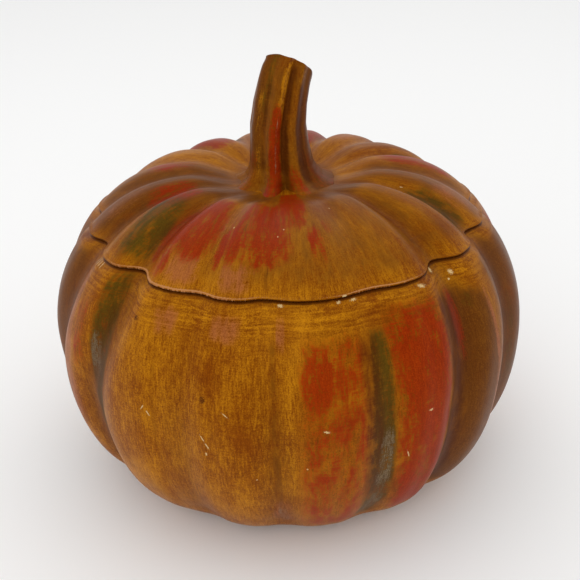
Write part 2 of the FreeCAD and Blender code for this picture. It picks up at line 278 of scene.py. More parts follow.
LID_FLECKS = (
    ("chip", 14.2, 134.6, 1.2, 3.0, 0),
    ("chip", -20.2, 166.0, 1.4, 1.2, 0),
    ("chip", -3.0, 163.0, 1.3, 1.2, 0),
    ("chip", -0.8, 166.4, 1.2, 1.1, 0),
    ("chip", 22.4, 178.0, 1.0, 1.0, 0),
    ("chip", 72.0, 172.0, 1.6, 1.0, 20),
    ("pin", 16.6, 133.9, 2.2, 2.2, 0),
    # Light lines along the lid's lower edge: painted highlight.
    ("line", -32.0, 135.0, 1.9, 120.0, 0),
    ("line", 24.0, 135.0, 1.4, 60.0, 0),
)

# Strokes on the stem: pigment, angle at its foot and at its top, half width in degrees, where it starts and
# ends as a share of the height, and how thickly it is laid.
STEM_STROKES = (
    ("brown", 0.0, 0.0, 180.0, -0.20, 1.20, 0.66),
    ("brown", 70.0, 75.0, 40.0, -0.20, 1.20, 1.00),
    ("brown", -72.0, -64.0, 40.0, 0.10, 1.20, 1.00),
    ("olive", -40.0, -30.0, 12.0, 0.55, 1.20, 0.55),
    ("red", 66.0, 76.0, 34.0, -0.20, 0.90, 0.30),
    ("golden", -12.0, 10.0, 8.0, 0.50, 1.15, 0.95),
    ("red", -16.0, 4.0, 11.0, -0.20, 0.66, 1.05),
    ("red", 22.0, 32.0, 12.0, -0.20, 0.24, 0.52),
    ("red", -62.0, -55.0, 12.0, -0.20, 0.34, 0.46),
    # A thin grey line down the stem's front ridge: painted highlight.
    ("worn", -14.0, 6.0, 1.8, 0.10, 0.64, 0.58),
    ("umber", 70.0, 78.0, 20.0, 0.00, 1.20, 0.55),
    ("golden", 30.0, 48.0, 12.0, 0.10, 1.10, 0.42),
    ("golden", -52.0, -42.0, 9.0, 0.00, 0.80, 0.48),
    ("umber", 4.0, 26.0, 9.0, 0.10, 0.95, 1.10),
    ("umber", 42.0, 52.0, 11.0, 0.04, 0.85, 1.15),
    ("umber", -38.0, -28.0, 7.0, 0.12, 0.85, 0.75),
    ("umber", 88.0, 88.0, 10.0, 0.10, 0.80, 0.80),
    ("red", 150.0, 150.0, 20.0, -0.20, 0.60, 0.60),
    ("umber", 133.0, 129.0, 8.0, 0.05, 0.95, 0.70),
    ("umber", 180.0, 180.0, 8.0, 0.05, 0.95, 0.60),
    ("golden", 205.0, 207.0, 14.0, 0.20, 1.00, 0.60),
    ("umber", 230.0, 234.0, 8.0, 0.05, 0.95, 0.70),
)

# How each pigment is laid over those before it: how ragged the brush leaves it, the thickness at which it
# covers, and how well it covers then.
LAYERS = {
    "brown": (0.6, 1.00, 0.90),
    "golden": (1.5, 1.15, 0.80),
    "mauve": (1.1, 0.95, 0.80),
    "red": (1.3, 0.76, 0.92),
    "olive": (1.0, 0.95, 0.92),
    "umber": (0.8, 1.05, 0.88),
    "worn": (1.6, 1.00, 0.75),
}

# The pigment that each kind of small mark shows.
# Lines along the lid's edge show a painted highlight; chips and painted glints show bare clay.
MARKS = {"chip": "clay", "pin": "umber", "line": "edge_highlight"}

# The noises that break up the paint, most of them drawn out along or across the brush.
TEXTURES = {
    "hair": {"scale": 1500.0, "roughness": 0.65, "stretch": (1, 1, 0.16)},
    "lock": {"scale": 420.0, "roughness": 0.60, "distortion": 0.4, "stretch": (1, 1, 0.24)},
    "grain": {"scale": 1900.0, "roughness": 0.75},
    "cross": {"scale": 1500.0, "detail": 2.0, "roughness": 0.6, "stretch": (0.14, 0.14, 1)},
    "blotch": {"scale": 90.0, "detail": 5.0, "roughness": 0.65, "stretch": (1, 1, 0.6)},
    "patch": {"scale": 260.0, "detail": 4.0, "roughness": 0.6, "distortion": 0.4, "stretch": (1, 1, 0.45)},
    "cloud": {"scale": 26.0, "detail": 2.0, "roughness": 0.5},
    "swept": {"scale": 800.0, "roughness": 0.6, "distortion": 0.6, "stretch": (0.08, 0.08, 1)},
}

# The noises that shape the clay: the waver of the cast wall, and the marks of the brush.
CLAY_WAVER = {"scale": 22.0, "detail": 1.0, "stretch": (1, 1, 0.6)}
BRUSH_MARKS = {"scale": 300.0, "stretch": (1, 1, 0.08)}

# Fired clay where no paint is: its darker and lighter clouds inside the jar and on the rings, and its
# specks.
INSIDE_CLAY = ((0.66, 0.55, 0.41), (0.74, 0.64, 0.50))
RING_CLAY = ((0.62, 0.52, 0.39), (0.72, 0.62, 0.48))
RING_SPECK = (0.36, 0.25, 0.15)

# Specks in the paint, and the tint of its satin gloss.
PAINT_SPECK = (0.30, 0.080, 0.004)
WARM_GLOSS = (1.0, 0.5, 0.16, 1.0)

# A stroke's cover ends this many times its half width from its middle, on the jar and on the stem.
STROKE_REACH = 1.5
STEM_STROKE_REACH = 1.7

# A stroke thins out over this share of its length at each end, within these limits in mm.
BRUSH_END = 0.3
BRUSH_END_LIMITS = (3, 9)

# On the stem a stroke thins out over this share of the stem's height.
STEM_BRUSH_END = 0.24

# Reaches in mm between which the paint is swept round the rim, and over which the sweep comes and goes.
RIM_SWEEP = (118, 136)
SWEEP_RUN = (6, 3)

# How far the painted shadow of the gap between lid and pot spreads on each side of the seam, and how thickly
# it is laid.
SEAM_SHADOW = 1.3 * MM
SEAM_SHADOW_STRENGTH = 1.4

# Where the valleys start above the underside, and where they start to wander, as a share of the belly's
# height.
GROOVE_RUN_IN = 16 * MM
WANDER_FROM = 0.8

# Where the lid's valleys start round the stem, and over what run they reach their depth, against the land's
# radius.
LAND_FADE = (0.85, 2.3)

# Depth of the ribs inside the wall, as a share of their depth outside.
INNER_RIBS = 0.85

# Radius of the jar and of the stem on which the paint is spread out flat.
PAINT_RADIUS = 0.1
STEM_PAINT_RADIUS = 0.012

# How finely the pieces are meshed: columns round the jar and the stem, the spacing of the rows on the skin,
# inside the pot and inside the lid, and how near to the axis the last row comes.
COLUMNS = 512
STEM_COLUMNS = 192
GRID_STEP = 1.4 * MM
INNER_STEP = 4 * MM
INNER_LID_STEP = 3 * MM
POLE_GAP = 0.5 * MM

# How far up its skin the lid stands in from the rim.
LID_INSET_RUN = 30 * MM

# Small roundings of the pot's mouth and of the lid's seat.
MOUTH_ROUND = 0.8 * MM
SEAT_ROUND = 0.6 * MM

# Places of the two lights.
OVERHEAD = (0.0, 0.25, 0.95)
IN_FRONT = (-0.3, -1.2, 0.7)

# How far the stem's foot is sunk in the lid, and where its rings stop being splayed, as a share of its
# height.
STEM_SUNK = 2.4 * MM
STEM_SPLAY_TO = 0.12


def smooth(share):
    """0 to 1 with level ends, for numbers and arrays."""
    share = np.clip(share, 0.0, 1.0)
    return share * share * (3 - 2 * share)


class JarSizes(bpy.types.PropertyGroup):
    """Sizes of the thrown and ribbed shapes."""

    belly_radius: FloatProperty(
        name="Belly radius", description="Over the ribs at the widest height", default=0.100, unit="LENGTH"
    )
    belly_height: FloatProperty(
        name="Belly height", description="Height of the widest ring", default=0.066, unit="LENGTH"
    )
    base_radius: FloatProperty(name="Base radius", description="Flat underside", default=0.060, unit="LENGTH")
    crest_radius: FloatProperty(
        name="Crest radius", description="Highest ring of the shoulder", default=0.040, unit="LENGTH"
    )
    crest_height: FloatProperty(
        name="Crest height", description="Tops of the ribs round the stem", default=0.1315, unit="LENGTH"
    )
    land_radius: FloatProperty(
        name="Land radius", description="Land that carries the stem", default=0.018, unit="LENGTH"
    )
    wall: FloatProperty(name="Wall", description="Cast wall", default=0.005, unit="LENGTH")
    mouth_radius: FloatProperty(
        name="Mouth radius", description="Round mouth of the pot", default=0.068, unit="LENGTH"
    )
    ledge: FloatProperty(
        name="Ledge", description="Thickness of the ledge round the mouth", default=0.006, unit="LENGTH"
    )
    seat_radius: FloatProperty(
        name="Seat radius", description="Inner radius of the lid's seat", default=0.062, unit="LENGTH"
    )
    rim_round: FloatProperty(
        name="Rim rounding", description="Rounding of the pot's outer rim", default=0.0022, unit="LENGTH"
    )
    lip_round: FloatProperty(
        name="Lip rounding", description="Rounding of the lid's lower edge", default=0.0007, unit="LENGTH"
    )
    lid_inset: FloatProperty(
        name="Lid inset", description="How far the lid stands in from the rim", default=0.0008, unit="LENGTH"
    )
    rib_depth: FloatProperty(
        name="Rib depth", description="Depth of a plain valley", default=0.0038, unit="LENGTH"
    )
    rib_sharpness: FloatProperty(name="Rib sharpness", description="Higher for narrower valleys", default=1.7)
    clay_waver: FloatProperty(
        name="Clay waver", description="Unevenness of the cast wall", default=0.0005, unit="LENGTH"
    )
    brush_relief: FloatProperty(
        name="Brush relief", description="Depth of the brush marks", default=0.00008, unit="LENGTH"
    )
    stem_height: FloatProperty(
        name="Stem height", description="Stem above its land", default=0.047, unit="LENGTH"
    )
    stem_round: FloatProperty(
        name="Stem rounding", description="Rounding of the cut end's edge", default=0.0012, unit="LENGTH"
    )
    cut_right: FloatProperty(
        name="Cut to the right", description="How much the stem's cut end falls to the right",
        subtype="ANGLE", unit="ROTATION", default=math.radians(18),
    )
    cut_back: FloatProperty(
        name="Cut to the back", description="How much it falls to the back",
        subtype="ANGLE", unit="ROTATION", default=math.radians(30),
    )
    stem_flute: FloatProperty(
        name="Stem flute", description="Depth of the flutes against the stem's radius", default=0.17
    )
    seed: IntProperty(name="Seed", description="Seed of the waver and the brush marks", default=7)


class JarColours(bpy.types.PropertyGroup):
    """Pigments brushed over the clay, among them painted sheen and highlights."""

    # Light ochre of the ground, also laid as painted highlights on the tops of the ribs just under the rim.
    golden: FloatVectorProperty(
        name="Golden ochre", description="Light strokes of the ground",
        subtype="COLOR", size=3, default=(0.43, 0.160, 0.0036), min=0, max=1,
    )
    amber: FloatVectorProperty(
        name="Amber brown", description="Dark strokes of the ground",
        subtype="COLOR", size=3, default=(0.190, 0.043, 0.0006), min=0, max=1,
    )
    red: FloatVectorProperty(
        name="Red orange", description="Red stripes",
        subtype="COLOR", size=3, default=(0.245, 0.0145, 0.0005), min=0, max=1,
    )
    olive: FloatVectorProperty(
        name="Olive", description="Green stripes in the valleys",
        subtype="COLOR", size=3, default=(0.058, 0.037, 0.0026), min=0, max=1,
    )
    # A pale mauve haze painted where the satin finish reflects the light: painted sheen.
    mauve: FloatVectorProperty(
        name="Mauve", description="Hazy patches near the seam",
        subtype="COLOR", size=3, default=(0.31, 0.090, 0.026), min=0, max=1,
    )
    # Grey of paint rubbed thin over the clay, also laid as a painted highlight down the stem's ridge.
    worn: FloatVectorProperty(
        name="Worn grey", description="Paint rubbed thin over the clay",
        subtype="COLOR", size=3, default=(0.20, 0.155, 0.095), min=0, max=1,
    )
    # Umber darkens the valleys, is the painted shadow along the seam, and is the colour of the pin marks.
    umber: FloatVectorProperty(
        name="Umber", description="Dark wash in the valleys",
        subtype="COLOR", size=3, default=(0.070, 0.014, 0.0010), min=0, max=1,
    )
    # Fired clay under the paint, also the colour of the painted glints.
    clay: FloatVectorProperty(
        name="Bare clay", description="Fired clay under the paint",
        subtype="COLOR", size=3, default=(0.66, 0.47, 0.22), min=0, max=1,
    )
    brown: FloatVectorProperty(
        name="Brown", description="Thin brown wash at the sides",
        subtype="COLOR", size=3, default=(0.108, 0.031, 0.0035), min=0, max=1,
    )
    # A light line painted along the lid's lower edge where the glaze catches the light: painted highlight.
    edge_highlight: FloatVectorProperty(
        name="Peach", description="Paint worn thin along the lid's edge",
        subtype="COLOR", size=3, default=(0.50, 0.22, 0.085), min=0, max=1,
    )
    floor: FloatVectorProperty(
        name="Floor", description="Pale studio floor",
        subtype="COLOR", size=3, default=(0.94, 0.94, 0.935), min=0, max=1,
    )


class StudioSettings(bpy.types.PropertyGroup):
    """Camera and light."""

    elevation: FloatProperty(
        name="Elevation", description="Height of the view above the horizon",
        subtype="ANGLE", unit="ROTATION", default=math.radians(28.5),
    )
    tilt: FloatProperty(
        name="Tilt", description="Tilt of the camera about its line of sight",
        subtype="ANGLE", unit="ROTATION", default=math.radians(1.77),
    )
    distance: FloatProperty(
        name="Distance", description="From the camera to the jar's axis", default=0.4425, unit="LENGTH"
    )
    target_height: FloatProperty(
        name="Target height", description="Height that the camera looks at", default=0.0673, unit="LENGTH"
    )
    lens: FloatProperty(name="Lens", description="Focal length", default=62.07, unit="CAMERA")
    shift_right: FloatProperty(
        name="Shift right", description="Sideways shift of the picture", default=0.0031
    )
    shift_up: FloatProperty(name="Shift up", description="Upward shift of the picture", default=0.0266)
    sky: FloatProperty(name="Sky", description="Strength of the soft light all round", default=0.86)
    top: FloatProperty(
        name="Top light", description="Power of the large light overhead", default=1.6, unit="POWER"
    )
    fill: FloatProperty(
        name="Fill light", description="Power of the weak light in front", default=3.2, unit="POWER"
    )
    floor_size: FloatProperty(
        name="Floor size", description="Side of the square floor", default=6.0, unit="LENGTH"
    )


# Shapes -------------------------------------------------------------------------------------------


def lower_skin(sizes, inset, turn):
    """Radius and height of a skin's lower half, from the underside's edge, turn 0, to the belly."""
    power = 2 / 2.05
    radius = sizes.base_radius + (sizes.belly_radius - inset - sizes.base_radius) * np.sin(turn) ** power
    height = sizes.belly_height - (sizes.belly_height - UNDERSIDE - inset) * np.cos(turn).clip(0) ** power
    return radius, height


def upper_skin(sizes, inset, turn):
    """The same from the belly, turn 0, over the crest at a quarter turn, to the land at a half turn."""
    quarter = math.pi / 2
    rise = sizes.crest_height - inset - sizes.belly_height
    up_radius = sizes.crest_radius + (sizes.belly_radius - inset - sizes.crest_radius) * np.cos(turn).clip(0)
    up_height = sizes.belly_height + rise * np.sin(np.minimum(turn, quarter))
    share = np.clip((turn - quarter) / quarter, 0, 1)
    dip = (sizes.crest_height - LAND) * smooth(share)
    inner_radius = sizes.crest_radius + (sizes.land_radius - sizes.crest_radius) * share
    radius = np.where(turn > quarter, inner_radius, up_radius)
    height = np.where(turn > quarter, sizes.crest_height - inset - dip, up_height)
    return radius, height


def turn_at(sizes, inset, height):
    """The upper skin's turn at a height."""
    return math.asin((height - sizes.belly_height) / (sizes.crest_height - inset - sizes.belly_height))


def even_line(radius, height, step):
    """A line of radii and heights, resampled at an even spacing."""
    along = line_length(radius, height)
    places = np.linspace(0.0, along[-1], max(2, int(round(along[-1] / step)) + 1))
    return np.interp(places, along, radius), np.interp(places, along, height)


def line_length(radius, height):
    """Distance along a line, counted from its first point."""
    return np.concatenate([[0.0], np.cumsum(np.hypot(np.diff(radius), np.diff(height)))])


def whole_skin(sizes, inset, top, steps):
    """A skin's radii and heights from the underside's edge over the belly to a height."""
    low = lower_skin(sizes, inset, np.linspace(0, math.pi / 2, steps))
    high = upper_skin(sizes, inset, np.linspace(0, turn_at(sizes, inset, top), steps))
    return np.append(low[0], high[0][1:]), np.append(low[1], high[1][1:])


def pot_skin(sizes, inset, top, steps, spacing):
    """The same, resampled at an even spacing."""
    return even_line(*whole_skin(sizes, inset, top, steps), spacing)


def quarter_round(centre_r, centre_z, radius, first, last, steps):
    """Points of a rounding, from one angle to another in degrees, 0 pointing outwards and 90 up."""
    angles = np.radians(np.linspace(first, last, steps + 1))
    return centre_r + radius * np.cos(angles), centre_z + radius * np.sin(angles)


class Section:
    """A closed section of a turned wall, gathered stretch by stretch."""

    def __init__(self):
        self.radius, self.height, self.share, self.reach, self.painted = [], [], [], [], []

    def add(self, line, share, reach, painted):
        """A stretch, its share of the ribs' depth, its reach along the skin and how painted it is."""
        radius, height = line
        count = len(radius)
        self.radius += list(radius)
        self.height += list(height)
        for column, given in ((self.share, share), (self.reach, reach), (self.painted, painted)):
            column.extend(np.broadcast_to(np.asarray(given, float), (count,)))

    def arrays(self):
        """The stretches as arrays, with points that fall on each other dropped."""
        rows = np.array([self.radius, self.height, self.share, self.reach, self.painted])
        step = np.hypot(np.diff(rows[0]), np.diff(rows[1]))
        keep = np.concatenate([[True], step > 0.02 * MM])
        return rows[:, keep]


def pot_section(sizes):
    """The pot's wall as one closed section: underside, skin, rim, ledge, mouth, inner skin and floor."""
    section = Section()
    under = np.linspace(POLE_GAP, sizes.base_radius - 0.5 * MM, 24)
    section.add((under, np.full_like(under, UNDERSIDE)), 0.0, 0.0, 0.0)

    skin = pot_skin(sizes, 0.0, RIM, 400, GRID_STEP)
    reach = line_length(*skin)
    cut = reach < reach[-1] - sizes.rim_round
    section.add((skin[0][cut], skin[1][cut]), 1.0, reach[cut], 1.0)
    at_rim = reach[-1]
    small = 0.75 * sizes.rim_round
    rim = quarter_round(skin[0][-1] - 1.15 * sizes.rim_round, RIM - small, small, 30, 90, 5)
    section.add(rim, 1.0, np.linspace(at_rim - 1 * MM, at_rim + 1 * MM, 6), 1.0)

    mouth = sizes.mouth_radius + MOUTH_ROUND
    ledge = np.linspace(rim[0][-1] - 0.8 * MM, mouth, 8)
    ribbed, painted = np.linspace(0.93, 0.0, 8), np.linspace(0.7, 0.1, 8)
    section.add((ledge, np.full_like(ledge, RIM)), ribbed, at_rim + 1.5 * MM, painted)
    for height, first in ((RIM - MOUTH_ROUND, 90), (RIM - sizes.ledge + MOUTH_ROUND, 180)):
        section.add(quarter_round(mouth, height, MOUTH_ROUND, first, first + 90, 4), 0.0, 0.0, 0.0)

    inner = pot_skin(sizes, sizes.wall, RIM - sizes.ledge, 200, INNER_STEP)
    under_ledge = np.linspace(sizes.mouth_radius + 2 * MM, inner[0][-1] - 0.5 * MM, 4)
    below = np.full_like(under_ledge, RIM - sizes.ledge)
    section.add((under_ledge, below), np.linspace(0.1, 0.8, 4), 0.0, 0.0)
    section.add((inner[0][::-1], inner[1][::-1]), INNER_RIBS, 0.0, 0.0)
    floor = np.linspace(sizes.base_radius - 2 * MM, POLE_GAP, 12)
    section.add((floor, np.full_like(floor, inner[1][0])), 0.0, 0.0, 0.0)
    return section.arrays()


def lid_section(sizes):
    """The lid's wall as one closed section: inner skin, seat, edge, skin and land."""
    section = Section()
    seat_top = SEAT + sizes.ledge
    inner_turns = np.linspace(math.pi, turn_at(sizes, sizes.wall, seat_top), 300)
    inner = even_line(*upper_skin(sizes, sizes.wall, inner_turns), INNER_LID_STEP)
    cap = np.linspace(POLE_GAP, inner[0][0] - 1 * MM, 4)
    section.add((cap, np.full_like(cap, inner[1][0])), 0.0, 0.0, 0.0)
    section.add(inner, INNER_RIBS, 0.0, 0.0)
    seat_edge = sizes.seat_radius + SEAT_ROUND
    for height, first in ((seat_top - SEAT_ROUND, 90), (SEAT + SEAT_ROUND, 180)):
        section.add(quarter_round(seat_edge, height, SEAT_ROUND, first, first + 90, 3), 0.0, 0.0, 0.0)

    turns = np.linspace(turn_at(sizes, 0.0, SEAT), math.pi, 600)
    skin = even_line(*upper_skin(sizes, 0.0, turns), GRID_STEP)
    inset = sizes.lid_inset * np.clip(1 - line_length(*skin) / LID_INSET_RUN, 0, 1)
    skin = (skin[0] - inset, skin[1])
    edge = skin[0][0]
    seat = np.linspace(sizes.seat_radius + 2 * MM, edge - 1.6 * sizes.lip_round, 8)
    ribbed, painted = np.linspace(0.0, 0.95, 8), np.linspace(0.0, 0.4, 8)
    section.add((seat, np.full_like(seat, SEAT)), ribbed, 0.0, painted)

    start = line_length(*whole_skin(sizes, 0.0, SEAT, 400))[-1]
    lip = quarter_round(edge - sizes.lip_round, SEAT + sizes.lip_round, sizes.lip_round, 270, 375, 6)
    section.add(lip, 1.0, start, 1.0)
    reach = start + line_length(*skin)
    kept = reach > start + 1.6 * sizes.lip_round
    section.add((skin[0][kept], skin[1][kept]), 1.0, reach[kept], 1.0)
    land = np.linspace(sizes.land_radius - 1.2 * MM, POLE_GAP, 10)
    section.add((land, np.full_like(land, LAND)), 0.0, reach[-1], 1.0)
    return section.arrays()


def across_valleys(angle, places, deep):
    """How far across its rib a point is, from one valley (0) to the next (1), and the nearer one's depth."""
    turned = (angle[:, None] - places) % 360.0
    before = turned.argmin(axis=1)
    after = (before + 1) % places.shape[1]
    rows = np.arange(len(angle))
    span = (places[rows, after] - places[rows, before]) % 360.0
    across = turned[rows, before] / span
    return across, np.where(across < 0.5, deep[rows, before], deep[rows, after])


def crease_depth(angle, height):
    """Depth of the faint creases pressed into the pot."""
    share = smooth((height - UNDERSIDE) / (RIM - UNDERSIDE))
    depth = np.zeros_like(angle)
    for low, high, half, deep in CREASES:
        off = (angle - (low + (high - low) * share) + 180.0) % 360.0 - 180.0
        depth += deep * MM * np.exp(-((off / half) ** 2))
    return depth * smooth((RIM + 2 * MM - height) / (10 * MM)) * smooth((height - 6 * MM) / (16 * MM))


def lay_strokes(angle, reach):
    """How thickly each pigment covers each point."""
    layers = {name: np.zeros_like(angle) for name in LAYERS}
    for pigment, angle_a, reach_a, angle_b, reach_b, half_a, half_b, strength in STROKES:
        along = np.clip((reach / MM - reach_a) / (reach_b - reach_a), 0, 1)
        middle = angle_a + (angle_b - angle_a) * along
        half = half_a + (half_b - half_a) * along
        off = np.abs((angle - middle + 180.0) % 360.0 - 180.0) / half
        low, high = sorted((reach_a, reach_b))
        past = np.maximum(low - reach / MM, reach / MM - high)
        fade = np.clip(BRUSH_END * (high - low), *BRUSH_END_LIMITS)
        cover = smooth(STROKE_REACH - off) * smooth((0.7 * fade - past) / (2 * fade))
        layers[pigment] = np.maximum(layers[pigment], strength * cover)
    return layers


def turned_faces(rows, columns):
    """Faces of a grid that closes on itself round the axis, with a point at the middle of each end."""
    here = np.arange((rows - 1) * columns).reshape(rows - 1, columns)
    beside = np.roll(here, -1, axis=1)
    quads = np.stack([here, beside, beside + columns, here + columns], axis=2)
    ring = np.arange(columns)
    following = np.roll(ring, -1)
    last = (rows - 1) * columns
    first_cap = np.stack([np.full(columns, rows * columns), following, ring], axis=1)
    last_cap = np.stack([np.full(columns, rows * columns + 1), last + ring, last + following], axis=1)
    return quads.reshape(-1, 4).tolist() + first_cap.tolist() + last_cap.tolist()


def with_attributes(name, points, faces, fields):
    """An object from points and faces, with point attributes of numbers or of triples."""
    mesh = bpy.data.meshes.new(name)
    mesh.from_pydata(points.tolist(), [], faces)
    mesh.update()
    for field, values in fields.items():
        values = np.asarray(values, np.float32)
        kind, slot = ("FLOAT", "value") if values.ndim == 1 else ("FLOAT_VECTOR", "vector")
        mesh.attributes.new(field, kind, "POINT").data.foreach_set(slot, values.ravel())
    return bpy.data.objects.new(name, mesh)


def revolve(name, section, sizes):
    """A wall turned from a section, with all that the ribs and the paint need on its points."""
    rows = section.shape[1]
    angle = np.tile(np.linspace(-180.0, 180.0, COLUMNS, endpoint=False), rows)
    radius, height, share, reach, painted = np.repeat(section, COLUMNS, axis=1)
    angle, radius, reach = (np.append(values, [0, 0]) for values in (angle, radius, reach))
    height, share, painted = (np.append(values, values[[0, -1]]) for values in (height, share, painted))
    radius[-2:] = 0

    low, high, deep, deep_high = (np.array(column) for column in zip(*VALLEYS))
    start = WANDER_FROM * sizes.belly_height
    wander = smooth((height - start) / (RIM - start))[:, None]
    across, nearest = across_valleys(angle, low + (high - low) * wander, deep + (deep_high - deep) * wander)
    run_in = smooth((height - UNDERSIDE) / GROOVE_RUN_IN)
    near_land = smooth((radius / sizes.land_radius - LAND_FADE[0]) / LAND_FADE[1])
    depth = nearest * share * run_in * np.where(height > RIM, near_land, 1.0)

    turn = np.radians(angle)
    out_r, out_z = facing(sizes, height, radius)
    lift = smooth((height - SEAT - sizes.ledge) / sizes.ledge)
    inward = (1 - lift) / np.maximum(out_r, 0.5) + lift * out_r
    skin = share > 0.99
    from_foot = reach / MM
    swept = smooth((from_foot - RIM_SWEEP[0]) / SWEEP_RUN[0])
    swept = swept * smooth((RIM_SWEEP[1] - from_foot) / SWEEP_RUN[1])
    sine, cosine = np.sin(turn), np.cos(turn)
    points = np.stack([radius * sine, -radius * cosine, height], axis=1)
    fields = {
        "across": across,
        "deep": depth,
        "crease": crease_depth(angle, height) * (skin & (height < RIM)),
        "painted": painted,
        "swept": swept,
        "sink": np.stack([-inward * sine, inward * cosine, -lift * out_z], axis=1),
        "paint_space": np.stack([PAINT_RADIUS * sine, -PAINT_RADIUS * cosine, reach], axis=1),
        "sheet": np.stack([PAINT_RADIUS * turn, reach, 0 * turn], axis=1),
    }
    for pigment, cover in lay_strokes(angle, reach).items():
        fields[pigment] = cover * (share > 0.9)
    # Umber painted along the seat and the rim as the shadow in the gap between lid and pot.
    from_seam = np.minimum(np.abs(height - SEAT), np.abs(height - RIM))
    fields["umber"] = np.maximum(fields["umber"], SEAM_SHADOW_STRENGTH * smooth((SEAM_SHADOW - from_seam) / SEAM_SHADOW))
    return with_attributes(name, points, turned_faces(rows, COLUMNS), fields)


def stem_shape(sizes):
    """The stem before its flutes are pressed in: rings along a bent line, sunk in the lid and cut off."""
    share, right, back, radius = (np.array(column) for column in zip(*STEM_LINE))
    up = np.concatenate([np.linspace(0, STEM_SPLAY_TO, 16)[:-1], np.linspace(STEM_SPLAY_TO, 1, 90)])
    ring_r = np.interp(up, share, radius) * MM
    round_over = np.linspace(0, math.pi / 2, 8)[1:]
    edge = sizes.stem_round
    inward = np.linspace(ring_r[-1] - edge, 0.3 * MM, 14)[1:]
    near_cut = edge * smooth((up - 0.9) / 0.1)
    sunk = np.concatenate([[STEM_SUNK, STEM_SUNK], near_cut, edge * (1 - np.sin(round_over)), 0 * inward])
    up = np.concatenate([[up[0], up[0]], up, np.ones(len(round_over) + len(inward))])
    caps = np.concatenate([ring_r[-1] - edge + edge * np.cos(round_over), inward])
    ring_r = np.concatenate([[2.0 * MM, ring_r[0] - 1.0 * MM], ring_r, caps])
    rows = len(ring_r)
    ring_right = np.interp(up, share, right) * MM
    ring_back = np.interp(up, share, back) * MM
    slope = smooth(2 * up - 1)
    middle_up = LAND + sizes.stem_height * up - sunk
    centre = [(ring_right[k], ring_back[k], middle_up[k]) for k in (0, -1)]

    angle = np.tile(np.linspace(-180.0, 180.0, STEM_COLUMNS, endpoint=False), rows)
    table = np.stack([up, ring_r, ring_right, ring_back, slope, sunk])
    up, ring_r, ring_right, ring_back, slope, sunk = np.repeat(table, STEM_COLUMNS, axis=1)
    turn = np.radians(angle)
    x, y = ring_r * np.sin(turn), -ring_r * np.cos(turn)
    fall = math.tan(sizes.cut_right) * x + math.tan(sizes.cut_back) * y
    z = LAND + sizes.stem_height * up - slope * fall - sunk
    points = np.concatenate([np.stack([x + ring_right, y + ring_back, z], axis=1), centre])

    low, deep, twist = (np.array(column) for column in zip(*FLUTES))
    across, nearest = across_valleys(angle, low + twist * smooth(up)[:, None], deep + 0 * up[:, None])
    near_edge = np.clip(ring_r / (STEM_LINE[-1][3] * MM), 0, 1) ** 2
    splay = 1 + 0.9 * smooth((STEM_SPLAY_TO - up) / STEM_SPLAY_TO)
    flute = nearest * np.minimum(ring_r, 14 * MM) * near_edge * splay
    height = sizes.stem_height * up
    sink = np.stack([-np.sin(turn), np.cos(turn), -0.35 * smooth((0.1 - up) / 0.1)], axis=1)
    paint_space = [STEM_PAINT_RADIUS * np.sin(turn), -STEM_PAINT_RADIUS * np.cos(turn), height]
    paint_space = np.stack(paint_space, axis=1)
    sheet = np.stack([STEM_PAINT_RADIUS * turn, height, 0 * turn], axis=1)
    fields = {
        "across": with_ends(across),
        "deep": with_ends(flute / sizes.rib_depth * sizes.stem_flute),
        "crease": with_ends(0 * up),
        "painted": with_ends(0 * up + 1),
        "swept": with_ends(0 * up),
        "sink": np.concatenate([sink, np.zeros((2, 3))]),
        "paint_space": np.concatenate([paint_space, [[0, 0, 0], [0, 0, sizes.stem_height]]]),
        "sheet": np.concatenate([sheet, np.zeros((2, 3))]),
    }
    for pigment, cover in stem_strokes(angle, up).items():
        fields[pigment] = with_ends(cover)
    return with_attributes("stem", points, turned_faces(rows, STEM_COLUMNS), fields)


def with_ends(values):
    """The values of a grid's points, with nothing at the point in the middle of each end."""
    return np.append(values, [0.0, 0.0])


def stem_strokes(angle, up):
    """How thickly each pigment covers the stem, from the angle and the share of its height."""
    layers = {name: np.zeros_like(angle) for name in LAYERS}
    for pigment, low_angle, high_angle, half, bottom, top, strength in STEM_STROKES:
        middle = low_angle + (high_angle - low_angle) * up
        off = np.abs((angle - middle + 180.0) % 360.0 - 180.0) / half
        ends = smooth((up - bottom) / STEM_BRUSH_END + 0.5) * smooth((top - up) / STEM_BRUSH_END + 0.5)
        across = smooth((STEM_STROKE_REACH - off) / 1.4)
        layers[pigment] = np.maximum(layers[pigment], strength * across * ends)
    return layers


def facing(sizes, height, radius):
    """Radial and upward parts of the outer skin's outward direction at a height."""
    turns = np.linspace(0.01, math.pi - 0.01, 400)
    skin_r, skin_z = upper_skin(sizes, 0.0, turns)
    low_r, low_z = lower_skin(sizes, 0.0, np.linspace(0.01, math.pi / 2, 200))
    line_r, line_z = np.concatenate([low_r, skin_r]), np.concatenate([low_z, skin_z])
    run, rise = np.gradient(line_r), np.gradient(line_z)
    length = np.hypot(run, rise)
    out_r, out_z = rise / length, -run / length
    outer = line_r >= sizes.crest_radius
    dip = ~outer
    inner = (radius < sizes.crest_radius) & (height > SEAT)
    parts = []
    for part in (out_r, out_z):
        by_height = np.interp(height, line_z[outer], part[outer])
        by_radius = np.interp(radius, line_r[dip][::-1], part[dip][::-1])
        parts.append(np.where(inner, by_radius, by_height))
    return parts


# Node trees ---------------------------------------------------------------------------------------


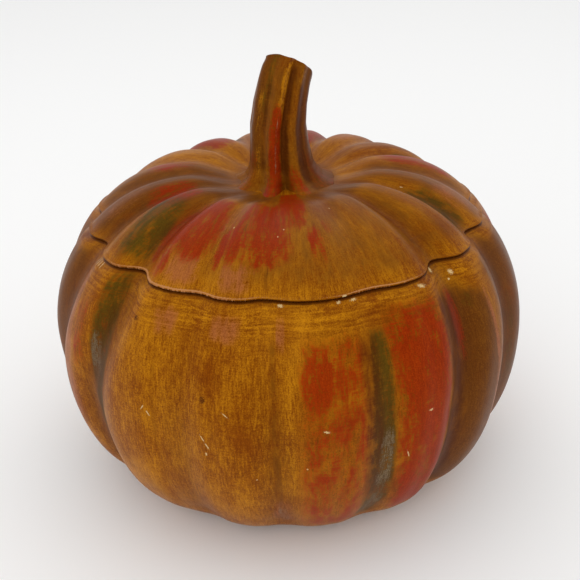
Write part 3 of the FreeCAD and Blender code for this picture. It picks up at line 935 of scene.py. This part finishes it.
class Wiring:
    """Short calls for building a node tree. Each call returns the new node's first output."""

    def __init__(self, tree):
        self.tree = tree

    def node(self, kind, inputs=(), **settings):
        """A node with its settings and its inputs, each a value or another node's output."""
        made = self.tree.nodes.new(kind)
        for key, value in settings.items():
            setattr(made, key, value)
        for key, value in dict(inputs).items():
            socket = made.inputs[key]
            if isinstance(value, bpy.types.NodeSocket):
                self.tree.links.new(value, socket)
            else:
                socket.default_value = value
        return made

    def math(self, operation, first, second=0.0, third=0.0, clamp=False):
        """A Math node."""
        inputs = {0: first, 1: second, 2: third}
        return self.node("ShaderNodeMath", inputs, operation=operation, use_clamp=clamp).outputs[0]

    def vector(self, operation, first, second=(0.0, 0.0, 0.0)):
        """A Vector Math node, or its number for a length or a product."""
        made = self.node("ShaderNodeVectorMath", {0: first, 1: second}, operation=operation)
        return made.outputs["Value" if operation in ("LENGTH", "DOT_PRODUCT", "DISTANCE") else "Vector"]

    def scaled(self, vector, number):
        """A vector times a number."""
        made = self.node("ShaderNodeVectorMath", {0: vector, "Scale": number}, operation="SCALE")
        return made.outputs["Vector"]

    def noise(self, vector, scale, detail=3.0, roughness=0.5, distortion=0.0, stretch=(1, 1, 1)):
        """Noise, finer for a higher scale, with the vector stretched first."""
        moved = self.vector("MULTIPLY", vector, stretch)
        inputs = {"Vector": moved, "Scale": scale, "Detail": detail}
        inputs.update({"Roughness": roughness, "Distortion": distortion})
        return self.node("ShaderNodeTexNoise", inputs).outputs[0]

    def step(self, value, low, high, out_low=0.0, out_high=1.0):
        """A smooth step from low to high."""
        inputs = {"Value": value, "From Min": low, "From Max": high, "To Min": out_low, "To Max": out_high}
        return self.node("ShaderNodeMapRange", inputs, interpolation_type="SMOOTHSTEP").outputs[0]

    def blend(self, cover, under, over, mode="MIX"):
        """One colour laid over another."""
        made = self.node("ShaderNodeMix", data_type="RGBA", blend_type=mode, clamp_factor=True)
        for index, value in ((0, cover), (6, under), (7, over)):
            if isinstance(value, bpy.types.NodeSocket):
                self.tree.links.new(value, made.inputs[index])
            else:
                made.inputs[index].default_value = value if index == 0 else (*value, 1.0)[:4]
        return made.outputs[2]

    def field(self, name, vector=False):
        """A point attribute, in a material."""
        made = self.node("ShaderNodeAttribute", attribute_name=name)
        return made.outputs["Vector" if vector else "Fac"]

    def named(self, name, vector=False):
        """A point attribute, in geometry nodes."""
        kind = "FLOAT_VECTOR" if vector else "FLOAT"
        return self.node("GeometryNodeInputNamedAttribute", {"Name": name}, data_type=kind).outputs[0]


def rib_tree():
    """Geometry nodes that press the ribs' valleys, the creases and the brush marks into a turned wall."""
    tree = bpy.data.node_groups.new("Ribbed clay", "GeometryNodeTree")
    face = tree.interface
    face.new_socket("Geometry", in_out="INPUT", socket_type="NodeSocketGeometry")
    for name in ("Rib Depth", "Rib Sharpness", "Clay Waver", "Brush Relief", "Seed"):
        face.new_socket(name, in_out="INPUT", socket_type="NodeSocketFloat")
    face.new_socket("Material", in_out="INPUT", socket_type="NodeSocketMaterial")
    face.new_socket("Geometry", in_out="OUTPUT", socket_type="NodeSocketGeometry")
    wire = Wiring(tree)
    given = tree.nodes.new("NodeGroupInput").outputs
    around = wire.math("COSINE", wire.math("MULTIPLY", wire.named("across"), 2 * math.pi))
    valley = wire.math("MULTIPLY_ADD", around, 0.5, 0.5)
    valley = wire.math("POWER", valley, given["Rib Sharpness"])
    pressed = wire.math("MULTIPLY", wire.math("MULTIPLY", valley, wire.named("deep")), given["Rib Depth"])
    place = wire.named("paint_space", vector=True)
    seeded = wire.node("ShaderNodeCombineXYZ", {"X": given["Seed"], "Y": 0.0, "Z": 0.0}).outputs[0]
    moved = wire.vector("ADD", place, seeded)
    waver = wire.math("SUBTRACT", wire.noise(moved, **CLAY_WAVER), 0.5)
    marks = wire.math("SUBTRACT", wire.noise(moved, **BRUSH_MARKS), 0.5)
    relief = wire.math("MULTIPLY", waver, given["Clay Waver"])
    relief = wire.math("MULTIPLY_ADD", marks, given["Brush Relief"], relief)
    relief = wire.math("MULTIPLY", relief, wire.named("painted"))
    sunk = wire.math("ADD", wire.math("ADD", pressed, wire.named("crease")), relief)
    offset = wire.scaled(wire.named("sink", vector=True), sunk)
    hollow = wire.math("MULTIPLY", valley, wire.named("deep"))
    kept = wire.node(
        "GeometryNodeStoreNamedAttribute",
        {"Geometry": given["Geometry"], "Name": "hollow", "Value": hollow},
        data_type="FLOAT",
        domain="POINT",
    )
    pushed = wire.node("GeometryNodeSetPosition", {"Geometry": kept.outputs[0], "Offset": offset})
    rounded = wire.node("GeometryNodeSetShadeSmooth", {"Geometry": pushed.outputs[0]})
    solid = wire.node("GeometryNodeRealizeInstances", {"Geometry": rounded.outputs[0]})
    coating = {"Geometry": solid.outputs[0], "Material": given["Material"]}
    coated = wire.node("GeometryNodeSetMaterial", coating)
    result = tree.nodes.new("NodeGroupOutput")
    tree.links.new(coated.outputs[0], result.inputs[0])
    return tree


def run_tree(shape, tree, inputs):
    """The plain mesh that a geometry-nodes tree makes of an object, under the object's name."""
    name = shape.name
    bpy.context.scene.collection.objects.link(shape)
    modifier = shape.modifiers.new("Ribbed clay", "NODES")
    modifier.node_group = tree
    sockets = {item.name: item.identifier for item in tree.interface.items_tree if item.in_out == "INPUT"}
    for key, value in inputs.items():
        modifier[sockets[key]] = value
    depsgraph = bpy.context.evaluated_depsgraph_get()
    mesh = bpy.data.meshes.new_from_object(shape.evaluated_get(depsgraph), depsgraph=depsgraph)
    shape.modifiers.remove(modifier)
    old = shape.data
    shape.data = mesh
    bpy.data.meshes.remove(old)
    mesh.name = name
    return shape


def close_up(piece):
    """Merge doubles and turn every face of a closed piece outwards."""
    made = bmesh.new()
    made.from_mesh(piece.data)
    bmesh.ops.remove_doubles(made, verts=made.verts, dist=0.005 * MM)
    bmesh.ops.recalc_face_normals(made, faces=made.faces)
    if any(len(edge.link_faces) != 2 for edge in made.edges):
        raise RuntimeError(f"{piece.name} isn't closed")
    made.to_mesh(piece.data)
    made.free()


def new_material(name):
    """An empty material, and the wiring of its node tree."""
    material = bpy.data.materials.new(name)
    material.use_nodes = True
    material.node_tree.nodes.clear()
    return material, Wiring(material.node_tree)


def brushwork(wire):
    """The paint's noises by name, with the brush's hairs, which turn near the rim, and its dryness."""
    place = wire.field("paint_space", vector=True)
    noise = {name: wire.noise(place, **settings) for name, settings in TEXTURES.items()}
    hairs = wire.node("ShaderNodeMix", data_type="FLOAT")
    for index, value in ((0, wire.field("swept")), (2, noise["hair"]), (3, noise["swept"])):
        wire.tree.links.new(value, hairs.inputs[index])
    bristle = hairs.outputs[0]
    rag = wire.math("MULTIPLY_ADD", noise["grain"], 0.34, wire.math("MULTIPLY", noise["cross"], 0.18))
    rag = wire.math("MULTIPLY_ADD", bristle, 0.30, wire.math("MULTIPLY_ADD", noise["lock"], 0.18, rag))
    dry = wire.math("MULTIPLY_ADD", rag, 4.4, -2.2)
    return {**noise, "bristle": bristle, "rag": rag, "dry": dry}


def brushed_colour(wire, colours, noise):
    """The ochre ground, the pigments laid over it, among them painted sheen and highlights, its specks, and
    umber darkening the valleys by their depth.
    """
    tone = wire.math("MULTIPLY_ADD", noise["cloud"], 0.60, -0.175)
    tone = wire.math("MULTIPLY_ADD", noise["blotch"], 0.85, tone)
    tone = wire.math("MULTIPLY_ADD", noise["dry"], 0.42, tone)
    paint = wire.blend(wire.step(tone, 0.22, 0.96), tuple(colours.amber), tuple(colours.golden))

    torn = wire.math("MULTIPLY_ADD", noise["patch"], 1.6, wire.math("SUBTRACT", noise["dry"], 1.6))
    torn = wire.math("MULTIPLY_ADD", noise["blotch"], 1.6, torn)
    for pigment, (raggedness, full, hold) in LAYERS.items():
        ragged = wire.math("MULTIPLY_ADD", torn, raggedness, 1.0)
        laid = wire.math("MULTIPLY", ragged, wire.field(pigment))
        cover = wire.step(laid, 0.3 * full, full, 0.0, hold)
        paint = wire.blend(cover, paint, tuple(getattr(colours, pigment)))

    paint = wire.blend(wire.step(noise["grain"], 0.60, 0.74, 0.0, 0.35), paint, PAINT_SPECK)
    # Umber darkens the valleys, more where they are deeper.
    valley_darkening = wire.math("MULTIPLY_ADD", noise["lock"], 0.5, 0.20)
    valley_darkening = wire.math("MULTIPLY", wire.field("hollow"), valley_darkening)
    paint = wire.blend(wire.step(valley_darkening, 0.10, 0.75, 0.0, 0.55), paint, tuple(colours.umber))

    worked = wire.math("MULTIPLY_ADD", noise["bristle"], 0.4, wire.math("MULTIPLY", noise["grain"], 0.6))
    shade = wire.step(worked, 0.34, 0.66, 0.74, 1.20)
    shades = {"X": shade, "Y": wire.math("POWER", shade, 1.25), "Z": shade}
    return wire.blend(1.0, paint, wire.node("ShaderNodeCombineXYZ", shades).outputs[0], "MULTIPLY")


def painted_clay(name, colours, flecks):
    """Fired clay brushed with ochre, red and olive, with dry-brush edges, patches rubbed thin, small chips,
    and painted sheen, highlights and glints.
    """
    material, wire = new_material(name)
    noise = brushwork(wire)
    grain, cloud = noise["grain"], noise["cloud"]
    paint = brushed_colour(wire, colours, noise)

    sheet = wire.field("sheet", vector=True)
    chip = 0.0
    # Each mark is painted in its colour; chips and painted glints are also pressed a little into the bump.
    for kind, *place_and_size in flecks:
        mask = fleck(wire, sheet, *place_and_size, grain)
        paint = wire.blend(wire.math("MULTIPLY", mask, 0.85), paint, tuple(getattr(colours, MARKS[kind])))
        if kind == "chip":
            chip = wire.math("MAXIMUM", chip, mask)

    painted = wire.step(wire.math("MULTIPLY_ADD", noise["dry"], 0.25, wire.field("painted")), 0.35, 0.60)
    clay = wire.blend(wire.step(cloud, 0.3, 0.7), *INSIDE_CLAY)
    paint = wire.blend(painted, clay, paint)

    height = wire.math("MULTIPLY_ADD", noise["bristle"], 0.6, wire.math("MULTIPLY", grain, 0.4))
    height = wire.math("MULTIPLY_ADD", chip, -1.5, height)
    bump = wire.node("ShaderNodeBump", {"Height": height, "Distance": 0.00012, "Strength": 0.5})
    rough = wire.math("MULTIPLY_ADD", noise["blotch"], 0.5, wire.math("MULTIPLY", noise["rag"], 0.5))
    rough = wire.step(rough, 0.3, 0.7, 0.46, 0.34)
    rough = wire.math("MAXIMUM", rough, wire.math("MULTIPLY_ADD", painted, -0.6, 0.85))
    finish = {"Base Color": paint, "Roughness": rough, "Normal": bump.outputs[0]}
    finish.update({"Specular IOR Level": 0.11, "Specular Tint": WARM_GLOSS})
    shader = wire.node("ShaderNodeBsdfPrincipled", finish)
    wire.node("ShaderNodeOutputMaterial", {"Surface": shader.outputs[0]})
    return material


def fleck(wire, sheet, angle, reach, length, width, lean, grain):
    """A small mark on the painted skin, at an angle round the jar and a reach up it, as an uneven ellipse."""
    centre = (PAINT_RADIUS * math.radians(angle), reach * MM, 0.0)
    turned = wire.node(
        "ShaderNodeMapping",
        {"Vector": wire.vector("SUBTRACT", sheet, centre), "Rotation": (0, 0, -math.radians(lean))},
        vector_type="POINT",
    ).outputs[0]
    sized = wire.vector("MULTIPLY", turned, (2000.0 / width, 2000.0 / length, 0.0))
    reached = wire.math("MULTIPLY_ADD", grain, 2.6, wire.vector("LENGTH", sized))
    return wire.step(reached, 2.15, 1.75)


def bisque(name):
    """Unglazed fired clay, cream and slightly grainy."""
    material, wire = new_material(name)
    place = wire.node("ShaderNodeTexCoord").outputs["Object"]
    grain = wire.noise(place, 1400.0, detail=3.0, roughness=0.7)
    cloud = wire.noise(place, 60.0, detail=3.0)
    clay = wire.blend(wire.step(cloud, 0.35, 0.65), *RING_CLAY)
    clay = wire.blend(wire.step(grain, 0.62, 0.75, 0.0, 0.5), clay, RING_SPECK)
    bump = wire.node("ShaderNodeBump", {"Height": grain, "Distance": 0.0001, "Strength": 0.6})
    shader = wire.node(
        "ShaderNodeBsdfPrincipled",
        {"Base Color": clay, "Roughness": wire.step(grain, 0.2, 0.8, 0.72, 0.88), "Normal": bump.outputs[0]},
    )
    wire.node("ShaderNodeOutputMaterial", {"Surface": shader.outputs[0]})
    return material


# Operators ----------------------------------------------------------------------------------------


def rib_inputs(sizes, material):
    """The inputs that the pot and the lid share."""
    return {
        "Rib Depth": sizes.rib_depth,
        "Rib Sharpness": sizes.rib_sharpness,
        "Clay Waver": sizes.clay_waver,
        "Brush Relief": sizes.brush_relief,
        "Seed": float(sizes.seed),
        "Material": material,
    }


def finish_piece(piece, body, slot, *nodes):
    """Hand a finished piece to the frame."""
    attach(piece, body)
    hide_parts(*nodes)


class PUMPKIN_OT_pot(bpy.types.Operator):
    """Turn, rib and paint the pot"""

    bl_idname = "pumpkin.pot"
    bl_label = "Pot"

    def execute(self, context):
        sizes, colours = context.scene.jar_sizes, context.scene.jar_colours
        shape = revolve("pot", pot_section(sizes), sizes)
        material = painted_clay("Pot paint", colours, POT_FLECKS)
        piece = run_tree(shape, rib_tree(), rib_inputs(sizes, material))
        close_up(piece)
        finish_piece(piece, "pot", "pot_glaze", "pot_shell")
        return {"FINISHED"}


class PUMPKIN_OT_lid(bpy.types.Operator):
    """Turn, rib and paint the lid"""

    bl_idname = "pumpkin.lid"
    bl_label = "Lid"

    def execute(self, context):
        sizes, colours = context.scene.jar_sizes, context.scene.jar_colours
        shape = revolve("lid", lid_section(sizes), sizes)
        material = painted_clay("Lid paint", colours, LID_FLECKS)
        piece = run_tree(shape, rib_tree(), rib_inputs(sizes, material))
        close_up(piece)
        finish_piece(piece, "lid", "lid_glaze", "lid_shell")
        return {"FINISHED"}


class PUMPKIN_OT_stem(bpy.types.Operator):
    """Shape, flute and paint the stem"""

    bl_idname = "pumpkin.stem"
    bl_label = "Stem"

    def execute(self, context):
        sizes, colours = context.scene.jar_sizes, context.scene.jar_colours
        material = painted_clay("Stem paint", colours, ())
        inputs = rib_inputs(sizes, material)
        inputs["Rib Sharpness"] = 1.0
        piece = run_tree(stem_shape(sizes), rib_tree(), inputs)
        close_up(piece)
        finish_piece(piece, "lid", "stem_glaze", "stem_handle")
        return {"FINISHED"}


class PUMPKIN_OT_rings(bpy.types.Operator):
    """Give the foot ring and the lid's flange their bare clay"""

    bl_idname = "pumpkin.rings"
    bl_label = "Foot ring and flange"

    def execute(self, context):
        clay = bisque("Bare clay")
        for node in ("foot_ring", "lid_flange"):
            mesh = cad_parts[node].data
            mesh.materials.clear()
            mesh.materials.append(clay)
        return {"FINISHED"}


class PUMPKIN_OT_stage(bpy.types.Operator):
    """Lay the floor and set the light and the camera"""

    bl_idname = "pumpkin.stage"
    bl_label = "Floor, light and camera"

    def execute(self, context):
        scene, settings = context.scene, context.scene.jar_studio
        mesh = bpy.data.meshes.new("floor")
        half = settings.floor_size / 2
        corners = [(-half, -half, 0), (half, -half, 0), (half, half, 0), (-half, half, 0)]
        mesh.from_pydata(corners, [], [(0, 1, 2, 3)])
        floor = bpy.data.objects.new("floor", mesh)
        scene.collection.objects.link(floor)
        pale = bpy.data.materials.new("Floor")
        pale.use_nodes = True
        shader = pale.node_tree.nodes["Principled BSDF"]
        shader.inputs["Base Color"].default_value = (*context.scene.jar_colours.floor, 1.0)
        shader.inputs["Roughness"].default_value = 0.9
        shader.inputs["Specular IOR Level"].default_value = 0.2
        mesh.materials.append(pale)

        world = bpy.data.worlds.new("Studio")
        world.use_nodes = True
        world.node_tree.nodes["Background"].inputs["Color"].default_value = (1.0, 1.0, 1.0, 1.0)
        world.node_tree.nodes["Background"].inputs["Strength"].default_value = settings.sky
        scene.world = world
        scene.view_settings.view_transform = "Standard"

        middle = Vector((0, 0, settings.target_height))
        for name, place, size, power in (
            ("overhead", Vector(OVERHEAD), 1.1, settings.top),
            ("front", Vector(IN_FRONT), 0.9, settings.fill),
        ):
            light = bpy.data.lights.new(name, "AREA")
            light.size = size
            light.energy = power
            lamp = bpy.data.objects.new(name, light)
            lamp.location = place
            lamp.rotation_euler = (middle - place).to_track_quat("-Z", "Y").to_euler()
            scene.collection.objects.link(lamp)

        camera = bpy.data.cameras.new("camera")
        camera.lens = settings.lens
        camera.sensor_width = 36.0
        camera.shift_x = settings.shift_right
        camera.shift_y = settings.shift_up
        camera.clip_start = 0.01
        seen = bpy.data.objects.new("camera", camera)
        away = Vector((0, -math.cos(settings.elevation), math.sin(settings.elevation)))
        seen.location = middle + settings.distance * away
        level = (-away).to_track_quat("-Z", "Y").to_matrix()
        seen.rotation_euler = (level @ Euler((0, 0, -settings.tilt)).to_matrix()).to_euler()
        scene.collection.objects.link(seen)
        scene.camera = seen
        return {"FINISHED"}


class PUMPKIN_PT_panel(bpy.types.Panel):
    """The jar's pieces and its stage"""

    bl_idname = "PUMPKIN_PT_panel"
    bl_label = "Ceramic pumpkin jar"
    bl_space_type = "VIEW_3D"
    bl_region_type = "UI"
    bl_category = "Pumpkin"

    def draw(self, context):
        layout = self.layout
        for operator in OPERATORS:
            layout.operator(operator.bl_idname)


OPERATORS = (PUMPKIN_OT_pot, PUMPKIN_OT_lid, PUMPKIN_OT_stem, PUMPKIN_OT_rings, PUMPKIN_OT_stage)
CLASSES = (JarSizes, JarColours, StudioSettings, *OPERATORS, PUMPKIN_PT_panel)


def register():
    """Make the classes and their settings known."""
    for each in CLASSES:
        bpy.utils.register_class(each)
    bpy.types.Scene.jar_sizes = PointerProperty(type=JarSizes)
    bpy.types.Scene.jar_colours = PointerProperty(type=JarColours)
    bpy.types.Scene.jar_studio = PointerProperty(type=StudioSettings)


def unregister():
    """Take them away again."""
    del bpy.types.Scene.jar_studio
    del bpy.types.Scene.jar_colours
    del bpy.types.Scene.jar_sizes
    for each in reversed(CLASSES):
        bpy.utils.unregister_class(each)


def main():
    """Register, and make every piece and the stage."""
    register()
    bpy.ops.pumpkin.pot()
    bpy.ops.pumpkin.lid()
    bpy.ops.pumpkin.stem()
    bpy.ops.pumpkin.rings()
    bpy.ops.pumpkin.stage()
    bpy.context.view_layer.update()


if __name__ == "__main__":
    main()
